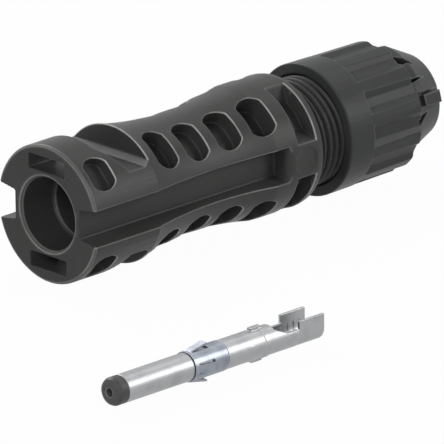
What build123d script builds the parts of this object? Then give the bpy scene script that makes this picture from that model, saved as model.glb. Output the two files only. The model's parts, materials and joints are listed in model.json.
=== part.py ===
from build123d import *
import os
from math import cos, hypot, radians, sin

# Cable coupler for a solar panel lead: a moulded plug housing, its cap nut with the clamp cage and
# cable seal inside, and the crimp contact that goes into it, taken out and laid in front.
# The coupler lies along X: the mating face is at x = 0, the cable leaves towards +X, the side of the
# housing with the long channel faces -Y and its mirror copy +Y. Millimetres throughout.
# Angles round the axis count from -Y (0) over +Z (90).

# Housing, outside: drops are how far a radius lies below the one before it
ring_radius = 9.85            # mating end
ring_length = 12.3
ring_edge = 0.12              # small step at the end of the ring
edge_round = 0.25
waist_drop = 1.43
waist_at = 24.5
shoulder_drop = 0.35
shoulder_length = 8.7         # full shoulder in front of the flange face
flange_drop = 0.20
flange_length = 1.2
flange_at = 43.5              # face that the cap nut closes towards

# Housing, inside
mouth_radius = 5.18
mouth_depth = 5.75
mouth_chamfer = 0.34
socket_drop = 0.38            # the bore narrows behind the mouth
socket_lead = 0.4
sleeve_wall = 1.6             # round the socket: windows and channels stop on it
pin_web = 1.6                 # wall that the contact pin comes through
barb_room_radius = 3.05
crimp_room = 0.5              # round the crimp barrel
bore_floor = 1.1              # the gland's bore starts this far in front of the flange face

# Finger slots and latch pockets, top and bottom
slot_half_width = 3.52
slot_web = 0.78               # between the mouth and the slot
slot_bridge = 1.75            # over the slot
pocket_front = 5.2
pocket_lip = 8.2              # where the pocket starts out at the ring's side
pocket_lip_angle = 37.0
pocket_flare = 0.6
pocket_edge = 0.2             # ring left behind the pocket
ramp_length = 1.1
ramp_rise = 0.65

# Channels on both sides
channel_half_floor = 2.07
channel_half_mouth = 2.64
channel_back = 6.8            # the channel's end wall, in front of the flange face
channel_end_round = 1.3
disc_back = 3.5
disc_radius = 1.9
disc_depth = 0.25

# Windows: four in each of four rows, with a mark recess ahead of them and a curved slot behind
window_gap = 1.7              # ring to first window
window_count = 4
window_rib = 1.9
window_angle = 50.5
window_half_edge = 2.1        # of the straight front and rear edges
window_bow = 1.05             # how far the ends bow out past those edges
mark_front = 1.2
mark_length = 4.1
mark_angle = 44.0
mark_half_edge = 1.5
mark_bow = 1.05
mark_depth = 1.9
rear_rib = 2.6                # last window to curved slot
curved_slot_width = 3.4
curved_slot_back = 1.4        # behind the slot, up to the flange face
curved_slot_floor = 0.9       # above the sleeve
curved_slot_angle = 44.2
curved_slot_half_floor = 17.3  # degrees
curved_slot_flare = 62.0      # degrees of its end walls from the middle direction

# Threaded neck
thread_pitch = 1.2
thread_turns = 4.0            # the nut turns this far each way from its rest place
neck_length = 12.5
neck_wall = 0.9
neck_chamfer = 0.4
key_count = 4
key_angle = 45.0
key_width = 1.6
key_rise = 0.2                # of the keys above the neck's bore
key_clearance = 0.15
keyway_start = 0.7

# Cap nut
nut_overhang = 0.15           # its radius above the flange
nut_gap = 0.3                 # left to the flange when it is screwed home
nut_edge = 0.15
nut_wall = 1.6
nut_draft = 0.2
nut_lead_in = 0.2
thread_room = 0.65            # nut bore to neck: both threads lie in it
neck_gap = 0.3                # left between the neck's end and the cone when screwed home
cone_length = 3.9
exit_length = 4.0
exit_wall = 2.03
exit_chamfer = 0.5
cable_room = 0.95             # cable hole above the cable
collar_length = 4.6           # plain front part of the nut
crown_length = 6.4
crown_drop = 1.4
crown_start = 0.4
flute_count = 12
flute_half_mouth = 9.5        # degrees
flute_half_floor = 4.5        # degrees
flute_depth = 0.75
crown_sides = 2               # the crown's forms repeat after half a turn
raised_low = 24.5             # degrees
raised_high = 89.0            # degrees
raised_drop = 0.95
raised_flat = 1.4
raised_rim = 0.07
crown_cut_depth = 1.2
recess_length = 3.3
recess_span = 14.0            # degrees at the shoulder
recess_high = 56.0            # straight side of the upper recess
recess_low = 1.0              # straight side of the lower recess
groove_length = 3.9
groove_low = 35.0             # degrees
groove_high = 39.0            # degrees
groove_apex = 40.0            # degrees
lug_angle = 16.0
lug_width = 1.7
lug_drop = 1.0
lug_start = 1.5
lug_length = 3.4
lug_bevel = 0.5

# Clamp cage and cable seal, carried in the nut
cage_seat = 1.8               # cage to bore floor when screwed home
cage_play = 0.2
cage_wall = 1.1
cage_ring = 3.6
cage_fingers = 8
cage_slot = 1.2
cage_key_length = 1.8
cage_lip = 0.8
cage_lip_rise = 1.05          # lip above the cable
cage_reach = 1.5              # of the fingers into the cone
cone_flare = 0.4              # cone's wide end above the cage
cone_gap = 0.18
seal_gap = 0.10
seal_recess = 2.4
seal_wall = 1.95              # what it leaves is the hole for the cable
seal_groove = 0.35
seal_grooves = 2

# Crimp contact, lying in front of the coupler with its axis along X; lengths run from the nose
pin_radius = 2.0
pin_length = 14.0
nose_x = -30.1
nose_y = -43.5
tip_length = 2.0
tip_round = 0.65
tip_hole_radius = 0.6
tip_hole_depth = 1.4
tip_spigot_radius = 1.2
tip_spigot = 1.6
spigot_fit = 0.02
sheet = 0.46                  # rolled wall of the tube
seat_depth = 0.16
band_play = 0.12
band_length = 6.15
band_gap = 0.02
band_wall = 0.30
tube_step = 0.08              # tube radius above the pin's
ring_at = 27.3
ring_width = 1.0
ring_rise = 0.1
tab_lead = 1.3                # tabs start this far in front of the ring
tab_length = 1.9
tab_width = 0.8
tab_rise = 0.38
tube_tail = 2.2               # ring to where the tube opens
trough_slope = 1.9
trough_height = 0.75
trough_length = 2.1
crimp_length = 4.6
crimp_half_width = 2.06
crimp_wall = 0.4
crimp_height = 1.97
serration_count = 3
serration = 0.12
serration_width = 0.3
tongue_lead = 0.7
tongue_length = 2.75
tongue_width = 1.15
tongue_rise = 0.64
tongue_count = 4
tongue_gap = 0.15
contact_play = 0.15           # of the contact in the housing
contact_depth = 8.6           # of the pin's nose behind the mating face when it is fitted

# Sizes that follow from those above
screw_travel = thread_pitch * thread_turns
floor_z = -ring_radius
past = 1.0                    # how far a cutting tool stands out of what it cuts
waist_radius = ring_radius - waist_drop
shoulder_radius = ring_radius - shoulder_drop
flange_radius = shoulder_radius - flange_drop
shoulder_at = flange_at - shoulder_length
socket_radius = mouth_radius - socket_drop
sleeve_radius = socket_radius + sleeve_wall
slot_floor = mouth_radius + slot_web
slot_roof = ring_radius - slot_bridge
pocket_rear = ring_length - pocket_edge
channel_end = flange_at - channel_back
window_first = ring_length + window_gap
curved_slot_rear = flange_at - curved_slot_back
curved_slot_front = curved_slot_rear - curved_slot_width
window_run = curved_slot_front - rear_rib - window_first
window_width = (window_run - (window_count - 1) * window_rib) / window_count
window_pitch = window_width + window_rib

nut_radius = flange_radius + nut_overhang
nut_bore_radius = nut_radius - nut_wall
neck_radius = nut_bore_radius - thread_room
neck_bore_radius = neck_radius - neck_wall
neck_bore_at = flange_at - bore_floor
neck_end = flange_at + neck_length
key_radius = neck_bore_radius + key_rise
cage_radius = neck_bore_radius - cage_play
nut_front = flange_at + nut_gap + screw_travel
cone_front = neck_end + screw_travel + neck_gap
cone_rear = cone_front + cone_length
cone_front_radius = cage_radius + cone_flare
cage_inner = cage_radius - cage_wall
seal_radius = cage_inner - seal_gap
cable_radius = seal_radius - seal_wall
cable_hole_radius = cable_radius + cable_room
nut_rear = cone_rear + exit_length
nut_shoulder_at = nut_rear - crown_length
nut_taper_radius = nut_radius - nut_draft
crown_radius = nut_radius - crown_drop
exit_radius = cable_hole_radius + exit_wall
cage_front = neck_bore_at + screw_travel + cage_seat
cage_tip = cone_front + cage_reach
cage_lip_radius = cable_radius + cage_lip_rise
seal_front = cage_front + cage_lip
seal_length = cage_tip - seal_recess - seal_front

seat_radius = pin_radius - seat_depth
band_radius = seat_radius + band_gap
band_at = pin_length + band_play
band_end = band_at + band_length
tube_radius = pin_radius + tube_step
tube_bore_radius = tube_radius - sheet
tab_at = ring_at - tab_lead
tube_end = ring_at + tube_tail
trough_at = tube_end + trough_slope
crimp_at = trough_at + trough_length
crimp_end = crimp_at + crimp_length
tongue_at = band_at + tongue_lead
tongue_end = tongue_at + tongue_length
pin_hole_radius = pin_radius + contact_play
contact_hole_radius = band_radius + band_wall + contact_play
contact_room_radius = hypot(crimp_half_width, crimp_height) + crimp_room
web_rear = contact_depth + band_at - contact_play
socket_depth = web_rear - pin_web
barb_stop_at = contact_depth + tongue_end + contact_play
collar_end_at = contact_depth + tab_at - contact_play


def around_x(sketch):
    """Solid of revolution about X of a sketch drawn in XY (x along, y as radius)."""
    return revolve(sketch, Axis.X)


def profile(*points):
    """Closed outline in the XY plane."""
    return make_face(Polyline(*points, close=True))


def side_profile(*points):
    """Closed outline in the XZ plane."""
    return Plane.XZ * make_face(Polyline(*points, close=True))


def rod(x0, x1, radius):
    """Round bar along X."""
    return Pos(x0, 0, 0) * Rot(0, 90, 0) * Cylinder(radius, x1 - x0, align=(Align.CENTER, Align.CENTER, Align.MIN))


def tube(x0, x1, outer, inner):
    return rod(x0, x1, outer) - rod(x0 - past, x1 + past, inner)


def mirrored(shape, plane):
    return mirror(shape, about=plane)


def from_top(angle):
    """Turn about X that brings what is built at the top to an angle round the axis."""
    return Rot(90 - angle, 0, 0)


def from_back(angle):
    """Turn about X that brings what is built on the +Y side to an angle round the axis."""
    return Rot(180 - angle, 0, 0)


def repeated(shape, count):
    return Part() + [Rot(index * 360 / count, 0, 0) * shape for index in range(count)]


def polar(radius, degrees):
    return (radius * cos(radians(degrees)), radius * sin(radians(degrees)))


def bowed_outline(width, edge, bow):
    """Straight front and rear edges with ends that bow out between them."""
    half = width / 2
    end = edge + bow
    return make_face(
        [
            Line((-half, edge), (-half, -edge)),
            ThreePointArc((-half, -edge), (0, -end), (half, -edge)),
            Line((half, -edge), (half, edge)),
            ThreePointArc((half, edge), (0, end), (-half, edge)),
        ]
    )


def sunk(outline, centre_x, angle, floor_radius):
    """Recess of an outline, cut straight in from outside at an angle round the axis."""
    top = ring_radius + past
    block = extrude(outline, amount=floor_radius - top)
    return Pos(centre_x, 0, 0) * from_top(angle) * Pos(0, 0, top) * block


def housing_outline():
    """Outer outline from the mating face to the end of the thread neck."""
    return make_face(
        [
            Polyline(
                (0, 0),
                (0, ring_radius - edge_round),
                (edge_round, ring_radius),
                (ring_length, ring_radius),
                (ring_length + ring_edge, ring_radius - ring_edge),
            ),
            ThreePointArc(
                (ring_length + ring_edge, ring_radius - ring_edge),
                (waist_at, waist_radius),
                (shoulder_at, shoulder_radius),
            ),
            Polyline(
                (shoulder_at, shoulder_radius),
                (flange_at - flange_length, shoulder_radius),
                (flange_at - edge_round, flange_radius),
                (flange_at, flange_radius - edge_round),
                (flange_at, neck_radius),
                (neck_end - neck_chamfer, neck_radius),
                (neck_end, neck_radius - neck_chamfer),
                (neck_end, 0),
                (0, 0),
            ),
        ]
    )


def housing_bore():
    """Everything along the axis: socket, contact seat and the room for the gland."""
    return profile(
        (-past, 0),
        (-past, mouth_radius + mouth_chamfer),
        (0, mouth_radius + mouth_chamfer),
        (mouth_chamfer, mouth_radius),
        (mouth_depth, mouth_radius),
        (mouth_depth + socket_lead, socket_radius),
        (socket_depth, socket_radius),
        (socket_depth, pin_hole_radius),
        (web_rear, pin_hole_radius),
        (web_rear, barb_room_radius),
        (barb_stop_at, barb_room_radius),
        (barb_stop_at, contact_hole_radius),
        (collar_end_at, contact_hole_radius),
        (collar_end_at, contact_room_radius),
        (neck_bore_at, contact_room_radius),
        (neck_bore_at, neck_bore_radius),
        (neck_end + past, neck_bore_radius),
        (neck_end + past, 0),
    )


def latch_pocket():
    """Opening across the top of the ring behind the bridge over the finger slot, with its ramp."""
    half = ring_radius + past
    lip = ring_radius * cos(radians(pocket_lip_angle))
    plan = profile(
        (pocket_front, -slot_half_width),
        (pocket_lip, -lip),
        (pocket_lip + pocket_flare, -half),
        (pocket_rear, -half),
        (pocket_rear, half),
        (pocket_lip + pocket_flare, half),
        (pocket_lip, lip),
        (pocket_front, slot_half_width),
    )
    cut = Pos(0, 0, slot_floor) * extrude(plan, amount=ring_radius)
    ramp = side_profile(
        (pocket_rear - ramp_length, slot_floor),
        (pocket_rear, slot_floor + ramp_rise),
        (pocket_rear, slot_floor),
    )
    return cut - extrude(ramp, amount=half, both=True)


def finger_slot():
    """Flat opening beside the socket for a latch finger of the mating coupler."""
    length = pocket_front + 2 * past
    height = slot_roof - slot_floor
    return Pos(length / 2 - past, 0, slot_floor + height / 2) * Box(length, 2 * slot_half_width, height)


def side_channel():
    """Long drafted channel on the -Y side, open at the mating face, with a rounded end wall."""
    outer = ring_radius + past
    draft = (channel_half_mouth - channel_half_floor) / (ring_radius - sleeve_radius)
    reach = channel_half_floor + draft * (outer - sleeve_radius)
    section = Plane.YZ.offset(-past) * make_face(
        Polyline(
            (-sleeve_radius, -channel_half_floor),
            (-sleeve_radius, channel_half_floor),
            (-outer, reach),
            (-outer, -reach),
            close=True,
        )
    )
    round_end = channel_end + channel_end_round
    run = extrude(section, amount=round_end + past)
    top = shoulder_radius
    corner = top - channel_end_round
    turn = channel_end_round * (1 - cos(radians(45)))
    end_wall = make_face(
        [
            Polyline((channel_end, 0), (channel_end, -corner)),
            ThreePointArc((channel_end, -corner), (channel_end + turn, -top + turn), (round_end, -top)),
            Polyline((round_end, -top), (round_end, -outer), (round_end + past, -outer), (round_end + past, 0)),
            Line((round_end + past, 0), (channel_end, 0)),
        ]
    )
    return run - extrude(end_wall, amount=outer, both=True)


def curved_slot():
    """Slot round the shoulder, with a round floor and end walls that spread outwards."""
    floor = sleeve_radius + curved_slot_floor
    inner_x, inner_y = polar(floor, curved_slot_half_floor)
    lean_x, lean_y = polar(ring_radius - floor + 4 * past, curved_slot_flare)
    face = Plane.YZ.offset(curved_slot_front) * make_face(
        Polyline(
            (inner_x, -inner_y),
            (inner_x + lean_x, -inner_y - lean_y),
            (inner_x + lean_x, inner_y + lean_y),
            (inner_x, inner_y),
            close=True,
        )
    )
    block = extrude(face, amount=curved_slot_width) - rod(curved_slot_front - past, curved_slot_rear + past, floor)
    return from_back(curved_slot_angle) * block


def make_housing():
    body = around_x(housing_outline()) - around_x(housing_bore())
    window = bowed_outline(window_width, window_half_edge, window_bow)
    mark = bowed_outline(mark_length, mark_half_edge, mark_bow)
    row = [curved_slot(), sunk(mark, mark_front + mark_length / 2, mark_angle, ring_radius - mark_depth)]
    for index in range(window_count):
        centre_x = window_first + index * window_pitch + window_width / 2
        row.append(sunk(window, centre_x, window_angle, 0) - rod(window_first - past, flange_at, sleeve_radius))
    quadrant = Part() + row
    half = quadrant + mirrored(quadrant, Plane.XY)
    cuts = half + mirrored(half, Plane.XZ)
    channel = side_channel()
    pocket = latch_pocket() + finger_slot()
    disc = Pos(flange_at - disc_back, -shoulder_radius, 0) * Rot(90, 0, 0) * Cylinder(disc_radius, 2 * disc_depth)
    channels = channel + mirrored(channel, Plane.XZ)
    pockets = pocket + mirrored(pocket, Plane.XY)
    discs = disc + mirrored(disc, Plane.XZ)
    keyway_front = neck_bore_at + keyway_start
    keyway_height = key_radius + key_clearance
    keyway = Pos((keyway_front + neck_end + past) / 2, 0, keyway_height / 2) * Box(
        neck_end + past - keyway_front, key_width + 2 * key_clearance, keyway_height
    )
    keyways = repeated(Rot(key_angle, 0, 0) * keyway, key_count)
    return body - cuts - channels - pockets - discs - keyways


def nut_outline():
    return profile(
        (nut_front, 0),
        (nut_front, nut_radius - nut_edge),
        (nut_front + nut_edge, nut_radius),
        (nut_shoulder_at - edge_round, nut_taper_radius),
        (nut_shoulder_at, nut_taper_radius - edge_round),
        (nut_shoulder_at, nut_taper_radius - crown_start),
        (nut_shoulder_at + crown_start, crown_radius),
        (nut_rear, exit_radius),
        (nut_rear, 0),
    )


def nut_bore():
    return profile(
        (nut_front - past, 0),
        (nut_front - past, nut_bore_radius + nut_lead_in),
        (nut_front, nut_bore_radius + nut_lead_in),
        (nut_front + nut_lead_in, nut_bore_radius),
        (cone_front, nut_bore_radius),
        (cone_front, cone_front_radius),
        (cone_rear, cable_hole_radius),
        (nut_rear - exit_chamfer, cable_hole_radius),
        (nut_rear, cable_hole_radius + exit_chamfer),
        (nut_rear + past, cable_hole_radius + exit_chamfer),
        (nut_rear + past, 0),
    )


def flute():
    """Grip groove along the nut, open at the crown."""
    deep = nut_radius - flute_depth
    widening = (flute_half_mouth - flute_half_floor) * past / flute_depth
    face = Plane.YZ.offset(nut_front + collar_length) * make_face(
        Polyline(
            polar(deep, -flute_half_floor),
            polar(nut_radius + past, -flute_half_mouth - widening),
            polar(nut_radius + past, flute_half_mouth + widening),
            polar(deep, flute_half_floor),
            close=True,
        )
    )
    return extrude(face, amount=nut_shoulder_at + crown_start - nut_front - collar_length)


def crown_cut(low, high, apex, length):
    """Three-sided recess behind the shoulder, from its front edge to an apex, all in degrees."""
    middle = (low + high) / 2
    front = nut_shoulder_at - edge_round
    floor = crown_radius - crown_cut_depth
    outline = make_face(
        Polyline(
            (front, crown_radius * sin(radians(low - middle))),
            (front, crown_radius * sin(radians(high - middle))),
            (front + length, crown_radius * sin(radians(apex - middle))),
            close=True,
        )
    )
    return from_top(middle) * Pos(0, 0, floor) * extrude(outline, amount=nut_radius - floor)


def raised_sector():
    """Part of the crown that stands higher than the rest."""
    layer = profile(
        (nut_shoulder_at - edge_round, crown_radius - crown_cut_depth),
        (nut_shoulder_at - edge_round, nut_radius - raised_drop),
        (nut_shoulder_at + raised_flat, nut_radius - raised_drop),
        (nut_rear, exit_radius + raised_rim),
        (nut_rear, exit_radius - crown_start),
    )
    return from_back(raised_high) * revolve(layer, Axis.X, revolution_arc=raised_high - raised_low)


def lug():
    """Block on the crown that a spanner drives."""
    front = nut_shoulder_at + lug_start
    rear = front + lug_length
    top = nut_radius - lug_drop
    face = side_profile(
        (front, exit_radius),
        (front, top),
        (rear - lug_bevel, top),
        (rear, top - lug_bevel),
        (rear, exit_radius),
    )
    return from_top(lug_angle) * extrude(face, amount=lug_width / 2, both=True)


def make_nut():
    body = around_x(nut_outline()) + repeated(raised_sector() + lug(), crown_sides)
    recesses = crown_cut(recess_high, recess_high + recess_span, recess_high, recess_length)
    recesses += crown_cut(recess_low - recess_span, recess_low, recess_low, recess_length)
    recesses += crown_cut(groove_low, groove_high, groove_apex, groove_length)
    body = body - repeated(flute(), flute_count) - repeated(recesses, crown_sides)
    return body - around_x(nut_bore())


def make_cage():
    cone_slope = (cone_front_radius - cable_hole_radius) / cone_length
    taper_at = cone_front + (cone_flare - cone_gap) / cone_slope
    tip_radius = cone_front_radius - cone_gap - cage_reach * cone_slope
    body = around_x(
        profile(
            (cage_front, cage_lip_radius),
            (cage_front, cage_radius - edge_round),
            (cage_front + edge_round, cage_radius),
            (taper_at, cage_radius),
            (cage_tip, tip_radius),
            (cage_tip, cage_inner),
            (cage_front + cage_lip, cage_inner),
            (cage_front + cage_lip, cage_lip_radius),
        )
    )
    slot_length = cage_tip - cage_front - cage_ring
    slot = Pos(cage_front + cage_ring + (slot_length + past) / 2, 0, cage_radius) * Box(
        slot_length + past, cage_slot, 4 * cage_wall
    )
    slots = repeated(Rot(180 / cage_fingers, 0, 0) * slot, cage_fingers)
    key_foot = cage_radius - cage_wall / 2
    key = Pos(cage_front + cage_key_length / 2, 0, (key_radius + key_foot) / 2) * Box(
        cage_key_length, key_width, key_radius - key_foot
    )
    return body + repeated(Rot(key_angle, 0, 0) * key, key_count) - slots


def make_seal():
    body = tube(seal_front, seal_front + seal_length, seal_radius, cable_radius)
    ribs = seal_grooves + 1
    spacing = seal_length / (ribs + seal_grooves)
    for index in range(seal_grooves):
        start = seal_front + spacing + 2 * spacing * index
        body -= tube(start, start + spacing, seal_radius + past, seal_radius - seal_groove)
    return body


def make_band():
    """Spring band with tongues that are joined to it at their front and lifted at the rear."""
    body = tube(band_at, band_end, band_radius + band_wall, band_radius)
    hole_length = tongue_length + tongue_gap
    hole = Pos(tongue_at + hole_length / 2, 0, band_radius) * Box(
        hole_length, tongue_width + 2 * tongue_gap, 4 * band_wall
    )
    tongue = side_profile(
        (tongue_at - tongue_lead / 2, band_radius),
        (tongue_at, band_radius),
        (tongue_end, band_radius + tongue_rise),
        (tongue_end, band_radius + tongue_rise + band_wall),
        (tongue_at - tongue_lead / 2, band_radius + band_wall),
    )
    lifted = extrude(tongue, amount=tongue_width / 2, both=True) - rod(band_at - past, band_end, band_radius)
    return body - repeated(hole, tongue_count) + repeated(lifted, tongue_count)


def make_tip():
    return around_x(
        profile(
            (0, tip_hole_radius),
            (0, pin_radius - tip_round),
            (tip_round / 3, pin_radius - tip_round / 3),
            (tip_round, pin_radius),
            (tip_length, pin_radius),
            (tip_length, tip_spigot_radius),
            (tip_length + tip_spigot, tip_spigot_radius),
            (tip_length + tip_spigot, 0),
            (tip_hole_depth, 0),
            (tip_hole_depth, tip_hole_radius),
        )
    )


def crimp_barrel():
    """Open U that is pressed round the wire, serrated inside."""
    inner = crimp_half_width - crimp_wall
    outside = u_section(crimp_half_width, crimp_height)
    inside = u_section(inner, crimp_height + past)
    barrel = Pos(crimp_at, 0, 0) * extrude(outside, amount=crimp_length)
    barrel -= Pos(crimp_at - past, 0, 0) * extrude(inside, amount=crimp_length + 2 * past)
    step = crimp_length / (serration_count + 1)
    for index in range(serration_count):
        start = crimp_at + step * (index + 1) - serration_width / 2
        barrel -= rod(start, start + serration_width, inner + serration)
    return barrel


def u_section(half_width, height):
    return Plane.YZ * make_face(
        [
            Polyline((-half_width, 0), (-half_width, height), (half_width, height), (half_width, 0)),
            ThreePointArc((half_width, 0), (0, -half_width), (-half_width, 0)),
        ]
    )


def make_contact():
    """Rolled pin, tube and crimp barrel in one piece."""
    body = around_x(
        profile(
            (tip_length, 0),
            (tip_length, pin_radius),
            (pin_length, pin_radius),
            (pin_length, seat_radius),
            (band_end + band_play, seat_radius),
            (band_end + band_play, tube_radius),
            (ring_at, tube_radius),
            (ring_at, tube_radius + ring_rise),
            (ring_at + ring_width, tube_radius + ring_rise),
            (ring_at + ring_width, tube_radius),
            (crimp_at, tube_radius),
            (crimp_at, 0),
        )
    )
    tab_foot = tube_radius - sheet / 2
    tab = Pos(tab_at + tab_length / 2, 0, (tab_foot + tube_radius + tab_rise) / 2) * Box(
        tab_length, tab_width, tube_radius + tab_rise - tab_foot
    )
    body += repeated(tab, 2)
    body -= rod(tip_length - past, tip_length + tip_spigot, tip_spigot_radius + spigot_fit)
    body -= rod(tip_length + tip_spigot, crimp_at + past, tube_bore_radius)
    top_cut = side_profile(
        (tube_end, tube_radius + past),
        (tube_end, tube_radius - sheet),
        (trough_at, trough_height),
        (crimp_at + past, trough_height),
        (crimp_at + past, tube_radius + past),
    )
    return body - extrude(top_cut, amount=tube_radius + past, both=True) + crimp_barrel()


contact_height = floor_z + band_radius + tongue_rise + band_wall
contact_place = Pos(nose_x, nose_y, contact_height)

parts = {
    "housing": make_housing(),
    "cap_nut": make_nut(),
    "clamp_cage": make_cage(),
    "cable_seal": make_seal(),
    "contact_body": contact_place * make_contact(),
    "contact_spring": contact_place * make_band(),
    "contact_tip": contact_place * make_tip(),
}

os.makedirs("parts", exist_ok=True)
for name, shape in parts.items():
    export_step(shape, f"parts/{name}.step")
    box = shape.bounding_box()
    print(name, len(shape.solids()), round(shape.volume, 2), box.min, box.max)
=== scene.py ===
import json
import math

import bmesh
import bpy
from mathutils import Matrix, Vector
from mathutils.kdtree import KDTree


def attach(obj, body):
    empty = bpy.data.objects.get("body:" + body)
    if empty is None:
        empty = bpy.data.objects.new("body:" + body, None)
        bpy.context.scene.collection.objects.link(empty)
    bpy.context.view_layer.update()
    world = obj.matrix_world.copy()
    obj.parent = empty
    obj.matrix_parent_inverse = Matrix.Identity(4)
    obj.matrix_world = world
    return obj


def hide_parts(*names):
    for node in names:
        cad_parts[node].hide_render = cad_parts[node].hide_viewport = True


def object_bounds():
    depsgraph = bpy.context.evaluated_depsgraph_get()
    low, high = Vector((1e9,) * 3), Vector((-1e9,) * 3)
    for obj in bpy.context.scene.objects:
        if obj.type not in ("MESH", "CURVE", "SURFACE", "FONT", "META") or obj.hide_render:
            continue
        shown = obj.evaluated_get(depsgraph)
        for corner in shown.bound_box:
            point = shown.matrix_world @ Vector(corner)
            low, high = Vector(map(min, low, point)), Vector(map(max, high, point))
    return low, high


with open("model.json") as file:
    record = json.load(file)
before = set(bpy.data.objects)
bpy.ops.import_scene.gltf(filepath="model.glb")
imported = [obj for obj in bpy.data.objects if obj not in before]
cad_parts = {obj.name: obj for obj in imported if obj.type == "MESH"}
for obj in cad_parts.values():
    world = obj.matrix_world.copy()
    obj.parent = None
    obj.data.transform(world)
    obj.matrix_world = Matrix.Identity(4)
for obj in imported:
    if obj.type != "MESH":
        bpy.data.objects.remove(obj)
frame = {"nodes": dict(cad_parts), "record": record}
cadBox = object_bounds()
mm = 0.001
nodes = frame["nodes"]
collection = bpy.context.scene.collection
print("frame loaded:", len(nodes), "nodes")


# camera, solved from the coupler's front circle and edges in the 444 pixel photograph
cameraSet = {
    "azimuth": -43.69,          # degrees round the object, 0 looks along +Y
    "elevation": 19.30,
    "roll": -0.906,
    "focalPixels": 20000.0,     # a very long lens
    "pixelsPerMm": 7.365,
    "originPixel": (47.31, 214.66),   # where the centre of the mating face shows
    "framePixels": 444.0,
    "sensorWidth": 36.0,
    "nearClip": 0.2,            # shares of the camera's distance
    "farClip": 4.0,
}


def makeCamera(s):
    a, e, r = (math.radians(s[k]) for k in ("azimuth", "elevation", "roll"))
    forward = Vector((-math.sin(a) * math.cos(e), math.cos(a) * math.cos(e), -math.sin(e)))
    right = Vector((math.cos(a), math.sin(a), 0.0))
    up = right.cross(forward)
    rolledRight = right * math.cos(r) + up * math.sin(r)
    rolledUp = up * math.cos(r) - right * math.sin(r)
    half = s["framePixels"] / 2
    across = (s["originPixel"][0] - half) / s["pixelsPerMm"] * mm
    above = (half - s["originPixel"][1]) / s["pixelsPerMm"] * mm
    distance = s["focalPixels"] / s["pixelsPerMm"] * mm
    data = bpy.data.cameras.new("camera")
    data.sensor_width = s["sensorWidth"]
    data.lens = s["focalPixels"] * s["sensorWidth"] / s["framePixels"]
    data.clip_start = distance * s["nearClip"]
    data.clip_end = distance * s["farClip"]
    camera = bpy.data.objects.new("camera", data)
    camera.location = -(rolledRight * across + rolledUp * above + forward * distance)
    camera.rotation_mode = "QUATERNION"
    turn = Matrix((rolledRight, rolledUp, -forward)).transposed()
    camera.rotation_quaternion = turn.to_quaternion()
    collection.objects.link(camera)
    bpy.context.scene.camera = camera


makeCamera(cameraSet)
print("camera placed")


# studio: pale floor, white surround and soft lamps, in metres and watts
studioSet = {
    "floorSize": 3.0,
    "floorColour": (0.5, 0.5, 0.5, 1),
    "floorRoughness": 0.9,
    "floorWhite": 0.975,         # share of plain white that the camera and reflections see
    "ambient": 0.15,
    "aim": (0.03, -0.01, 0.0),
    "lamps": [
        {"name": "frontLamp", "place": (0.24, -0.26, 0.15), "size": 0.16, "power": 0.58, "colour": (1, 1, 1)},
        {"name": "leftLamp", "place": (-0.30, -0.05, 0.22), "size": 0.12, "power": 0.42, "colour": (1, 1, 1)},
        {"name": "fillLamp", "place": (-0.29, -0.31, 0.15), "size": 0.20, "power": 0.50, "colour": (1, 1, 1)},
        {"name": "topLamp", "place": (0.26, 0.0, 0.28), "size": 0.24, "power": 0.17, "colour": (1, 1, 1)},
        {"name": "backLamp", "place": (0.05, 0.26, 0.24), "size": 0.24, "power": 1.10, "colour": (1, 1, 1)},
    ],
}


def areaLamp(s, aim):
    data = bpy.data.lights.new(s["name"], "AREA")
    data.shape = "DISK"
    data.size = s["size"]
    data.energy = s["power"]
    data.color = s["colour"]
    lamp = bpy.data.objects.new(s["name"], data)
    lamp.location = s["place"]
    lamp.rotation_mode = "QUATERNION"
    lamp.rotation_quaternion = (Vector(aim) - Vector(s["place"])).to_track_quat("-Z", "Y")
    collection.objects.link(lamp)


def seenDirectly(tree, share):
    # share for rays from the camera and for mirrored or transmitted ones, none for the rest
    path = tree.nodes.new("ShaderNodeLightPath")
    total = path.outputs["Is Camera Ray"]
    for label in ("Is Glossy Ray", "Is Transmission Ray"):
        both = tree.nodes.new("ShaderNodeMath")
        both.operation = "MAXIMUM"
        tree.links.new(total, both.inputs[0])
        tree.links.new(path.outputs[label], both.inputs[1])
        total = both.outputs[0]
    part = tree.nodes.new("ShaderNodeMath")
    part.operation = "MULTIPLY"
    part.inputs[1].default_value = share
    tree.links.new(total, part.inputs[0])
    return part.outputs[0]


def mixedOut(tree, outType, plain, white, share):
    out = tree.nodes.new(outType)
    mix = tree.nodes.new("ShaderNodeMixShader")
    tree.links.new(seenDirectly(tree, share), mix.inputs[0])
    tree.links.new(plain.outputs[0], mix.inputs[1])
    tree.links.new(white.outputs[0], mix.inputs[2])
    tree.links.new(mix.outputs[0], out.inputs[0])


def makeFloor(s):
    low = cadBox[0][2]
    mesh = bpy.data.meshes.new("floor")
    half = s["floorSize"] / 2
    corners = [(-half, -half, low), (half, -half, low), (half, half, low), (-half, half, low)]
    mesh.from_pydata(corners, [], [(0, 1, 2, 3)])
    floor = bpy.data.objects.new("floor", mesh)
    collection.objects.link(floor)
    material = bpy.data.materials.new("floorPaper")
    material.use_nodes = True
    tree = material.node_tree
    tree.nodes.clear()
    paper = tree.nodes.new("ShaderNodeBsdfPrincipled")
    paper.inputs["Base Color"].default_value = s["floorColour"]
    paper.inputs["Roughness"].default_value = s["floorRoughness"]
    white = tree.nodes.new("ShaderNodeEmission")
    mixedOut(tree, "ShaderNodeOutputMaterial", paper, white, s["floorWhite"])
    mesh.materials.append(material)


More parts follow.
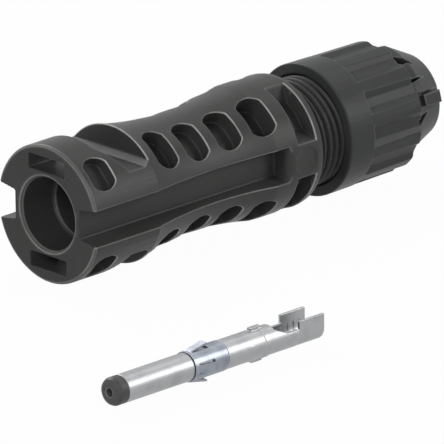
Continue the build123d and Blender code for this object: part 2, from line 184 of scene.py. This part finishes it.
def makeWorld(s):
    world = bpy.data.worlds.new("studio")
    bpy.context.scene.world = world
    world.use_nodes = True
    tree = world.node_tree
    tree.nodes.clear()
    soft = tree.nodes.new("ShaderNodeBackground")
    soft.inputs["Strength"].default_value = s["ambient"]
    white = tree.nodes.new("ShaderNodeBackground")
    mixedOut(tree, "ShaderNodeOutputWorld", soft, white, 1.0)


def makeStudio(s):
    makeWorld(s)
    makeFloor(s)
    for lamp in s["lamps"]:
        areaLamp(lamp, s["aim"])
    bpy.context.scene.view_settings.view_transform = "Standard"


makeStudio(studioSet)
print("studio lit")


# shader groups shared by the materials
def newGroup(name, inputs, outputs):
    group = bpy.data.node_groups.new(name, "ShaderNodeTree")
    for label, kind, value in inputs:
        socket = group.interface.new_socket(name=label, in_out="INPUT", socket_type=kind)
        socket.default_value = value
    for label, kind in outputs:
        group.interface.new_socket(name=label, in_out="OUTPUT", socket_type=kind)
    start = group.nodes.new("NodeGroupInput")
    end = group.nodes.new("NodeGroupOutput")
    return group, start, end


def noiseNode(tree, place, scaleSocket, detail):
    noise = tree.nodes.new("ShaderNodeTexNoise")
    noise.inputs["Detail"].default_value = detail
    tree.links.new(place, noise.inputs["Vector"])
    tree.links.new(scaleSocket, noise.inputs["Scale"])
    return noise.outputs["Fac"]


def mapped(tree, value, low, high, least=0.0):
    # smooth rise from least, where the value is low, to 1, where it is high
    node = tree.nodes.new("ShaderNodeMapRange")
    node.interpolation_type = "SMOOTHSTEP"
    node.inputs["From Min"].default_value = low
    node.inputs["From Max"].default_value = high
    node.inputs["To Min"].default_value = least
    node.inputs["To Max"].default_value = 1.0
    tree.links.new(value, node.inputs["Value"])
    return node.outputs[0]


def mathNode(tree, operation, first, second, third=None):
    node = tree.nodes.new("ShaderNodeMath")
    node.operation = operation
    for socket, value in zip(node.inputs, (first, second, third)):
        if isinstance(value, (int, float)):
            socket.default_value = value
        elif value is not None:
            tree.links.new(value, socket)
    return node.outputs[0]


def mixedColour(tree, share, first, second):
    mix = tree.nodes.new("ShaderNodeMix")
    mix.data_type = "RGBA"
    tree.links.new(share, mix.inputs["Factor"])
    tree.links.new(first, mix.inputs[6])
    tree.links.new(second, mix.inputs[7])
    return mix.outputs[2]


# how the noise in each group is shaped
noiseSet = {
    "middle": 0.5,              # mean of a noise
    "cloudDetail": 3,
    "grainDetail": 2,
    "patchDetail": 3,
    "patchLow": 0.25,           # noise where an edge has the least of its painted highlight
    "patchHigh": 0.75,          # noise where it has all of it
    "patchLeast": 0.6,
    "streakDetail": 1,
    "streakStretch": (0.04, 1.0, 1.0),
    "stainDetail": 4,
    "stainLow": 0.4,            # noise where a stain starts
    "stainHigh": 0.75,          # noise where it is full
}


def makeMouldedGrain(s):
    # cloudy tone and fine grain of glass-filled plastic
    group, start, end = newGroup(
        "mouldedGrain",
        [("Colour", "NodeSocketColor", (0.05, 0.05, 0.05, 1)), ("Cloud Scale", "NodeSocketFloat", 180.0),
         ("Grain Scale", "NodeSocketFloat", 7000.0), ("Variation", "NodeSocketFloat", 0.2),
         ("Roughness", "NodeSocketFloat", 0.45), ("Roughness Spread", "NodeSocketFloat", 0.15)],
        [("Colour", "NodeSocketColor"), ("Height", "NodeSocketFloat"), ("Roughness", "NodeSocketFloat")],
    )
    place = group.nodes.new("ShaderNodeTexCoord").outputs["Object"]
    cloud = noiseNode(group, place, start.outputs["Cloud Scale"], s["cloudDetail"])
    grain = noiseNode(group, place, start.outputs["Grain Scale"], s["grainDetail"])
    shift = mathNode(group, "SUBTRACT", cloud, s["middle"])
    bright = mathNode(group, "MULTIPLY_ADD", shift, start.outputs["Variation"], 1.0)
    spread = start.outputs["Roughness Spread"]
    rough = mathNode(group, "MULTIPLY_ADD", shift, spread, start.outputs["Roughness"])
    tint = group.nodes.new("ShaderNodeVectorMath")
    tint.operation = "SCALE"
    group.links.new(start.outputs["Colour"], tint.inputs[0])
    group.links.new(bright, tint.inputs["Scale"])
    group.links.new(tint.outputs[0], end.inputs["Colour"])
    group.links.new(grain, end.inputs["Height"])
    group.links.new(rough, end.inputs["Roughness"])
    return group


def makePaintedEdgeHighlight(s):
    # painted highlight: lighter tone along the edges in place of the light on their rounding, which the
    # pieces carry as an attribute, a little broken up in patches
    group, start, end = newGroup(
        "paintedEdgeHighlight",
        [("Colour", "NodeSocketColor", (0.05, 0.05, 0.05, 1)),
         ("Painted Highlight Colour", "NodeSocketColor", (0.2, 0.2, 0.2, 1)),
         ("Amount", "NodeSocketFloat", 0.5), ("Patch Scale", "NodeSocketFloat", 300.0)],
        [("Colour", "NodeSocketColor")],
    )
    edge = group.nodes.new("ShaderNodeAttribute")
    edge.attribute_name = "edge"
    place = group.nodes.new("ShaderNodeTexCoord").outputs["Object"]
    patch = noiseNode(group, place, start.outputs["Patch Scale"], s["patchDetail"])
    patchy = mapped(group, patch, s["patchLow"], s["patchHigh"], s["patchLeast"])
    paintedRim = mathNode(group, "MULTIPLY", edge.outputs["Fac"], patchy)
    share = mathNode(group, "MULTIPLY", paintedRim, start.outputs["Amount"])
    colour = mixedColour(group, share, start.outputs["Colour"], start.outputs["Painted Highlight Colour"])
    group.links.new(colour, end.inputs["Colour"])
    return group


def makeDrawnStreaks(s):
    # fine streaks along the metal, from rolling and drawing the strip
    group, start, end = newGroup(
        "drawnStreaks",
        [("Streak Scale", "NodeSocketFloat", 4000.0), ("Stain Scale", "NodeSocketFloat", 500.0),
         ("Colour", "NodeSocketColor", (0.3, 0.3, 0.3, 1)),
         ("Stain Colour", "NodeSocketColor", (0.2, 0.2, 0.2, 1)),
         ("Smoothest", "NodeSocketFloat", 0.25), ("Roughest", "NodeSocketFloat", 0.4)],
        [("Colour", "NodeSocketColor"), ("Height", "NodeSocketFloat"), ("Roughness", "NodeSocketFloat")],
    )
    place = group.nodes.new("ShaderNodeTexCoord").outputs["Object"]
    stretch = group.nodes.new("ShaderNodeMapping")
    stretch.inputs["Scale"].default_value = s["streakStretch"]
    group.links.new(place, stretch.inputs["Vector"])
    streak = noiseNode(group, stretch.outputs[0], start.outputs["Streak Scale"], s["streakDetail"])
    blotch = noiseNode(group, place, start.outputs["Stain Scale"], s["stainDetail"])
    stain = mapped(group, blotch, s["stainLow"], s["stainHigh"])
    colour = mixedColour(group, stain, start.outputs["Colour"], start.outputs["Stain Colour"])
    spread = mathNode(group, "SUBTRACT", start.outputs["Roughest"], start.outputs["Smoothest"])
    rough = mathNode(group, "MULTIPLY_ADD", streak, spread, start.outputs["Smoothest"])
    group.links.new(colour, end.inputs["Colour"])
    group.links.new(streak, end.inputs["Height"])
    group.links.new(rough, end.inputs["Roughness"])
    return group


mouldedGrain = makeMouldedGrain(noiseSet)
paintedEdgeHighlight = makePaintedEdgeHighlight(noiseSet)
drawnStreaks = makeDrawnStreaks(noiseSet)


def placeGroup(tree, group, values):
    node = tree.nodes.new("ShaderNodeGroup")
    node.node_tree = group
    for label, value in values.items():
        node.inputs[label].default_value = value
    return node


def newMaterial(name):
    material = bpy.data.materials.new(name)
    material.use_nodes = True
    tree = material.node_tree
    return material, tree, tree.nodes["Principled BSDF"]


def bumpFrom(tree, shader, height, strength, distance):
    bump = tree.nodes.new("ShaderNodeBump")
    bump.inputs["Strength"].default_value = strength
    bump.inputs["Distance"].default_value = distance
    tree.links.new(height, bump.inputs["Height"])
    tree.links.new(bump.outputs[0], shader.inputs["Normal"])


def finished(tree, shader, base, s):
    # the base group's colour with its painted edge highlights, its roughness and its relief
    paintedHighlight = placeGroup(tree, paintedEdgeHighlight, {
        "Painted Highlight Colour": s["paintedRim"], "Amount": s["paintedHighlight"], "Patch Scale": s["patches"],
    })
    tree.links.new(base.outputs["Colour"], paintedHighlight.inputs["Colour"])
    tree.links.new(paintedHighlight.outputs["Colour"], shader.inputs["Base Color"])
    tree.links.new(base.outputs["Roughness"], shader.inputs["Roughness"])
    bumpFrom(tree, shader, base.outputs["Height"], s["bump"], s["bumpDepth"])


def mouldedPlastic(name, s):
    material, tree, shader = newMaterial(name)
    shader.inputs["Specular IOR Level"].default_value = s["gloss"]
    grain = placeGroup(tree, mouldedGrain, {
        "Colour": s["colour"], "Cloud Scale": s["cloud"], "Grain Scale": s["grain"],
        "Variation": s["variation"], "Roughness": s["roughness"], "Roughness Spread": s["spread"],
    })
    finished(tree, shader, grain, s)
    return material


def platedMetal(name, s):
    material, tree, shader = newMaterial(name)
    shader.inputs["Metallic"].default_value = 1.0
    drawn = placeGroup(tree, drawnStreaks, {
        "Streak Scale": s["streak"], "Stain Scale": s["stain"], "Colour": s["colour"],
        "Stain Colour": s["stained"], "Smoothest": s["smooth"], "Roughest": s["rough"],
    })
    finished(tree, shader, drawn, s)
    return material


# linear colours, noise scales in waves a metre and relief in metres
# the lighter edge colour and its share in these finishes paint a highlight along the edges
housingFinish = {
    "colour": (0.045, 0.045, 0.044, 1), "variation": 0.25, "paintedRim": (0.46, 0.46, 0.45, 1), "paintedHighlight": 1.0,
    "patches": 300.0, "cloud": 180.0, "grain": 7000.0, "roughness": 0.40, "spread": 0.2, "gloss": 0.14,
    "bump": 0.2, "bumpDepth": 0.00003,
}
nutFinish = dict(housingFinish, colour=(0.038, 0.039, 0.040, 1))
cageFinish = dict(housingFinish, colour=(0.024, 0.024, 0.024, 1))
tipFinish = dict(
    housingFinish, colour=(0.075, 0.075, 0.075, 1), variation=0.6, cloud=900.0, grain=4000.0,
    bump=0.7, bumpDepth=0.00006,
)
sealFinish = dict(housingFinish, colour=(0.010, 0.010, 0.011, 1), paintedRim=(0.02, 0.02, 0.02, 1), roughness=0.6)
# the lighter edge colour and its share paint a highlight along the metal's edges
tinFinish = {
    "colour": (0.35, 0.355, 0.36, 1), "stained": (0.30, 0.31, 0.325, 1), "paintedRim": (0.5, 0.5, 0.5, 1),
    "paintedHighlight": 0.15, "patches": 300.0, "streak": 1500.0, "stain": 500.0, "smooth": 0.34, "rough": 0.50,
    "bump": 0.15, "bumpDepth": 0.00001,
}
steelFinish = dict(
    tinFinish, colour=(0.28, 0.30, 0.335, 1), stained=(0.20, 0.22, 0.255, 1),
    paintedRim=(0.4, 0.42, 0.46, 1), streak=2000.0,
)

finishes = {
    "housing_plastic": mouldedPlastic("housingPlastic", housingFinish),
    "nut_plastic": mouldedPlastic("nutPlastic", nutFinish),
    "cage_plastic": mouldedPlastic("cagePlastic", cageFinish),
    "seal_rubber": mouldedPlastic("sealRubber", sealFinish),
    "tip_plastic": mouldedPlastic("tipPlastic", tipFinish),
    "contact_metal": platedMetal("tinPlate", tinFinish),
    "spring_metal": platedMetal("springSteel", steelFinish),
}
print("materials made:", len(finishes))


# painted edge highlights: where each solid has a sharp edge, and how much of the painted highlight it gets
edgeSet = {
    "weld": 0.0001,             # mm, joins the split points of the solid's facets
    "turn": 30.0,               # degrees between two facets that make an edge
    "fullTurn": 90.0,           # degrees at which an edge is fully sharp
    "turnPower": 1.5,
    "leanGain": 1.5,            # how soon an edge that leans to the mating end counts as facing it
    "spacing": 0.05,            # mm between the points taken along an edge
    "full": 0.09,               # mm from an edge with all of the painted highlight
    "none": 0.20,               # mm from an edge where it ends
    "shown": 0.1,               # the least share of painted highlight that is marked
    "faceDepth": 0.2,           # mm, the mating face's own edges lie no deeper
    "faceInner": 5.7,           # mm, radii between which that face's slots lie
    "faceOuter": 9.0,
    "discPlace": 40.0,          # mm along the housing to its two sunk discs
    "discReach": 2.2,
}


def edgeShare(edge, turn, s, rims):
    # painted highlight: outer edges that look towards the mating end get the most, and blunt ones less;
    # inner corners, the mating face's slots and the sunk discs get the inner share
    sharp = min(1.0, (abs(turn) / math.radians(s["fullTurn"])) ** s["turnPower"])
    middle = (edge.verts[0].co + edge.verts[1].co) / (2 * mm)
    atSlot = middle.x < s["faceDepth"] and s["faceInner"] < math.hypot(middle.y, middle.z) < s["faceOuter"]
    atDisc = math.hypot(middle.x - s["discPlace"], middle.z) < s["discReach"]
    if turn < 0 or atSlot or atDisc:
        return rims["inner"] * sharp
    lean = (edge.link_faces[0].normal + edge.link_faces[1].normal).normalized()
    facing = min(1.0, max(0.0, -s["leanGain"] * lean.x))
    return sharp * (rims["plain"] + (rims["facing"] - rims["plain"]) * facing)


def sharpEdges(mesh, s, rims):
    # points along the solid's sharp edges, each with its share of the painted highlight; edges with hardly
    # any are left out, apart from the mating face's, so that the mesh beside those keeps its fine faces too
    work = bmesh.new()
    work.from_mesh(mesh)
    bmesh.ops.remove_doubles(work, verts=work.verts, dist=s["weld"] * mm)
    work.normal_update()
    places, shares = [], []
    for edge in work.edges:
        turn = edge.calc_face_angle_signed(0.0)
        if abs(turn) > math.radians(s["turn"]):
            share = edgeShare(edge, turn, s, rims)
            first, last = edge.verts
            if share < s["shown"] and abs(first.co.x) > s["faceDepth"] * mm:
                continue
            steps = max(1, math.ceil(edge.calc_length() / (s["spacing"] * mm)))
            places += [first.co.lerp(last.co, step / steps) for step in range(steps + 1)]
            shares += [share] * (steps + 1)
    work.free()
    tree = KDTree(len(places))
    for index, place in enumerate(places):
        tree.insert(place, index)
    tree.balance()
    return tree, shares


def markPaintedRims(mesh, tree, shares, s):
    # painted highlight mask: smooth fall from all of it near an edge to none
    paintedRim = []
    for vertex in mesh.vertices:
        index, distance = tree.find(vertex.co)[1:]
        near = min(1.0, max(0.0, (s["none"] - distance / mm) / (s["none"] - s["full"])))
        paintedRim.append(near * near * (3 - 2 * near) * shares[index])
    mesh.attributes.new("edge", "FLOAT", "POINT").data.foreach_set("value", paintedRim)


# moulded edges: each solid is remeshed finely and relaxed, so that every edge gets its small radius.
# Voxel and strip are in mm; away from the strips beside the edges, faces are joined until the share
# to keep is left. The rims are the shares of painted highlight on edges facing the mating end, others and
# inner ones.
strongRimHighlight = {"facing": 1.1, "plain": 0.24, "inner": 0.0}
faint = {"facing": 0.25, "plain": 0.12, "inner": 0.0}
softenSet = {
    "housing": {"piece": "housingShell", "slot": "housing_plastic",
                "voxel": 0.105, "relax": 4, "keep": 0.127, "strip": 0.24, "rims": strongRimHighlight},
    "cap_nut": {"piece": "nutShell", "slot": "nut_plastic",
                "voxel": 0.09, "relax": 3, "keep": 0.22, "strip": 0.24, "rims": faint},
    "clamp_cage": {"piece": "cageShell", "slot": "cage_plastic",
                   "voxel": 0.14, "relax": 2, "keep": 0.4, "strip": 0.1, "rims": faint},
    "cable_seal": {"piece": "sealBody", "slot": "seal_rubber",
                   "voxel": 0.14, "relax": 2, "keep": 0.4, "strip": 0.1, "rims": faint},
    "contact_body": {"piece": "rolledContact", "slot": "contact_metal",
                     "voxel": 0.05, "relax": 2, "keep": 0.16, "strip": 0.1, "rims": strongRimHighlight},
    "contact_spring": {"piece": "springBand", "slot": "spring_metal",
                       "voxel": 0.035, "relax": 1, "keep": 0.25, "strip": 0.05, "rims": strongRimHighlight},
    "contact_tip": {"piece": "tipCap", "slot": "tip_plastic",
                    "voxel": 0.06, "relax": 3, "keep": 0.5, "strip": 0.15, "rims": faint},
}
nodeBody = {node: body for body, held in frame["record"]["behaviour"]["bodies"].items() for node in held}


def dress(piece, slot, body):
    piece.data.materials.clear()
    piece.data.materials.append(finishes[slot])
    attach(piece, body)


def settled(piece):
    # the piece's mesh with its modifiers applied
    graph = bpy.context.evaluated_depsgraph_get()
    mesh = bpy.data.meshes.new_from_object(piece.evaluated_get(graph))
    piece.modifiers.clear()
    piece.data = mesh
    return mesh


def softened(node, s):
    piece = bpy.data.objects.new(s["piece"], nodes[node].data.copy())
    collection.objects.link(piece)
    edges, shares = sharpEdges(piece.data, edgeSet, s["rims"])
    voxels = piece.modifiers.new("fineMesh", "REMESH")
    voxels.mode = "VOXEL"
    voxels.voxel_size = s["voxel"] * 1.0 * mm
    voxels.use_smooth_shade = True
    relax = piece.modifiers.new("softEdges", "SMOOTH")
    relax.iterations = s["relax"]
    fine = settled(piece)
    beside = [vertex.index for vertex in fine.vertices if edges.find(vertex.co)[2] < s["strip"] * mm]
    strip = piece.vertex_groups.new(name="edgeStrip")
    strip.add(beside, 1.0, "REPLACE")
    thin = piece.modifiers.new("fewerFaces", "DECIMATE")
    thin.ratio = s["keep"]
    thin.vertex_group = strip.name
    thin.invert_vertex_group = True
    mesh = settled(piece)
    piece.vertex_groups.clear()
    markPaintedRims(mesh, edges, shares, edgeSet)
    dress(piece, s["slot"], nodeBody[node])
    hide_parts(node)
    triangles = sum(len(face.vertices) - 2 for face in mesh.polygons)
    share = len(beside) / len(fine.vertices)
    print(s["piece"], "softened,", triangles, "triangles,", f"{share:.0%} beside edges")


for node, settings in softenSet.items():
    softened(node, settings)


# the thread: one ridge on the housing's neck and one in the nut, half a pitch apart, in mm
threadSet = {
    "pitch": 1.2,
    "phaseAngle": 154.0,        # degrees about X where the crests are at phasePlace
    "phasePlace": 46.4,
    "stepsPerTurn": 72,
    "fadeTurns": 0.4,           # turns over which the ridge rises at each end
    "sink": 0.08,               # how far its foot goes into the wall
    "edge": 0.05,               # chamfer beside the crest
    "ridges": [
        {"name": "neckThread", "slot": "housing_plastic", "body": "coupler", "shift": 0.0,
         "foot": 7.20, "crest": 7.75, "start": 44.4, "end": 55.2, "footWidth": 0.78, "crestWidth": 0.22},
        {"name": "nutThread", "slot": "nut_plastic", "body": "nut", "shift": 0.6,
         "foot": 7.85, "crest": 7.32, "start": 49.3, "end": 60.4, "footWidth": 0.74, "crestWidth": 0.20},
    ],
}


def ridgeSection(r, s, share):
    # half widths and radii from one foot over the crest to the other
    out = 1 if r["crest"] > r["foot"] else -1
    rise = (r["crest"] - r["foot"]) * share
    foot, crest = r["footWidth"] / 2, r["crestWidth"] / 2
    left = [
        (-foot, r["foot"] - out * s["sink"]),
        (-foot, r["foot"]),
        (-crest - s["edge"], r["foot"] + rise - out * s["edge"] * share),
        (-crest + s["edge"], r["foot"] + rise),
    ]
    return left + [(-along, radius) for along, radius in reversed(left)]


def threadRidge(r, s):
    turns = (r["end"] - r["start"]) / s["pitch"]
    steps = int(turns * s["stepsPerTurn"])
    points, faces = [], []
    for step in range(steps + 1):
        done = step / steps * turns
        fade = max(0.0, min(1.0, done / s["fadeTurns"], (turns - done) / s["fadeTurns"]))
        centre = r["start"] + done * s["pitch"]
        turned = (centre - s["phasePlace"] - r["shift"]) / s["pitch"] * 360 + s["phaseAngle"]
        angle = math.radians(turned)
        for along, radius in ridgeSection(r, s, fade):
            place = (centre + along, radius * math.cos(angle), radius * math.sin(angle))
            points.append([value * mm for value in place])
    ring = len(points) // (steps + 1)
    for step in range(steps):
        for k in range(ring):
            a, b = step * ring + k, step * ring + (k + 1) % ring
            faces.append((a, b, b + ring, a + ring))
    faces.append(tuple(range(ring - 1, -1, -1)))
    faces.append(tuple(range(steps * ring, (steps + 1) * ring)))
    if r["crest"] < r["foot"]:
        faces = [face[::-1] for face in faces]
    mesh = bpy.data.meshes.new(r["name"])
    mesh.from_pydata(points, [], faces)
    mesh.shade_smooth()
    piece = bpy.data.objects.new(r["name"], mesh)
    collection.objects.link(piece)
    dress(piece, r["slot"], r["body"])


for ridge in threadSet["ridges"]:
    threadRidge(ridge, threadSet)
print("threads cut")
